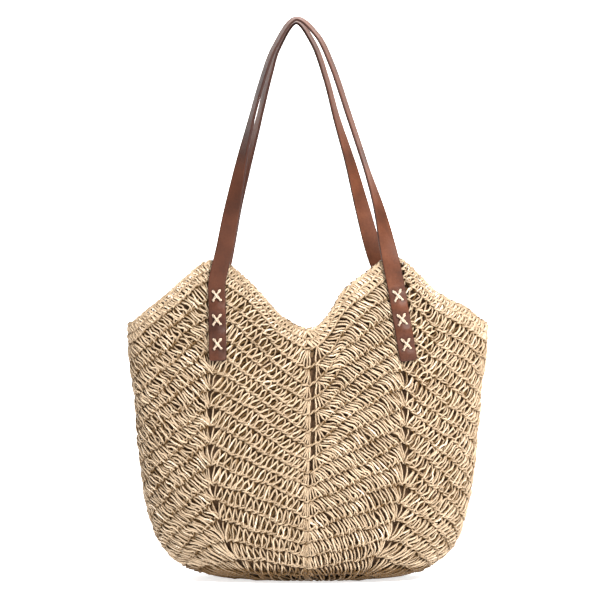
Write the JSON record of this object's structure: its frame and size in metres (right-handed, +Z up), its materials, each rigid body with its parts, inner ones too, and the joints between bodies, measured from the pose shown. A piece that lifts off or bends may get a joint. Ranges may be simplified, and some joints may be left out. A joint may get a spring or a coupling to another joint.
{
  "type": "beach bag",
  "caption": "Scalloped crochet straw tote with leather handles held by cross stitches, a sewn lining, a zipped pocket, a slip pocket and a magnetic snap.",
  "frame": {"origin": "middle of the base, on the surface that the bag stands on", "axes": "+Z up, +X towards the right side as seen from the front, the front faces -Y"},
  "size_m": [0.3961, 0.132, 0.6132],
  "materials": {
    "straw": "natural twisted paper straw, crocheted, matt with a faint sheen",
    "lining_cloth": "plain woven brown cloth",
    "zip_tape": "woven tape",
    "strap_leather": "smooth red-brown leather with painted dark edges, light sheen",
    "stitch_thread": "thick cream waxed cord",
    "antique_brass": "antique brass, satin"
  },
  "bodies": {
    "bag": {"crochet_body": "straw", "lining": "lining_cloth", "slip_pocket_panel": "lining_cloth", "zip_pocket_panel": "lining_cloth", "zip_chain": "antique_brass", "zip_tape_upper": "zip_tape", "zip_tape_lower": "zip_tape", "zip_stop_left": "antique_brass", "zip_stop_right": "antique_brass", "snap_socket": "antique_brass", "snap_stud": "antique_brass", "snap_washer_front": "antique_brass", "snap_washer_back": "antique_brass", "front_handle_left_end": "strap_leather", "front_handle_right_end": "strap_leather", "back_handle_left_end": "strap_leather", "back_handle_right_end": "strap_leather", "stitch_front_left_low": "stitch_thread", "stitch_front_left_middle": "stitch_thread", "stitch_front_left_top": "stitch_thread", "stitch_front_right_low": "stitch_thread", "stitch_front_right_middle": "stitch_thread", "stitch_front_right_top": "stitch_thread", "stitch_back_left_low": "stitch_thread", "stitch_back_left_middle": "stitch_thread", "stitch_back_left_top": "stitch_thread", "stitch_back_right_low": "stitch_thread", "stitch_back_right_middle": "stitch_thread", "stitch_back_right_top": "stitch_thread"},
    "front_handle": {"front_handle": "strap_leather"},
    "back_handle": {"back_handle": "strap_leather"},
    "zip_slider": {"zip_slider": "antique_brass"},
    "zip_pull": {"zip_pull": "antique_brass"}
  },
  "joints": [
    {"name": "front_handle_swing", "type": "hinge", "parent": "bag", "child": "front_handle", "pos_m": [0, -0.0374, 0.322], "axis": [1, 0, 0], "range_deg": [0, 165]},
    {"name": "back_handle_swing", "type": "hinge", "parent": "bag", "child": "back_handle", "pos_m": [0, 0.0374, 0.322], "axis": [-1, 0, 0], "range_deg": [0, 165]},
    {"name": "zip_slide", "type": "slide", "parent": "bag", "child": "zip_slider", "axis": [-1, 0, 0], "range_m": [0, 0.128]},
    {"name": "zip_pull_swing", "type": "hinge", "parent": "zip_slider", "child": "zip_pull", "pos_m": [0.064, 0.03931, 0.2083], "axis": [-1, 0, 0], "range_deg": [0, 140]}
  ]
}
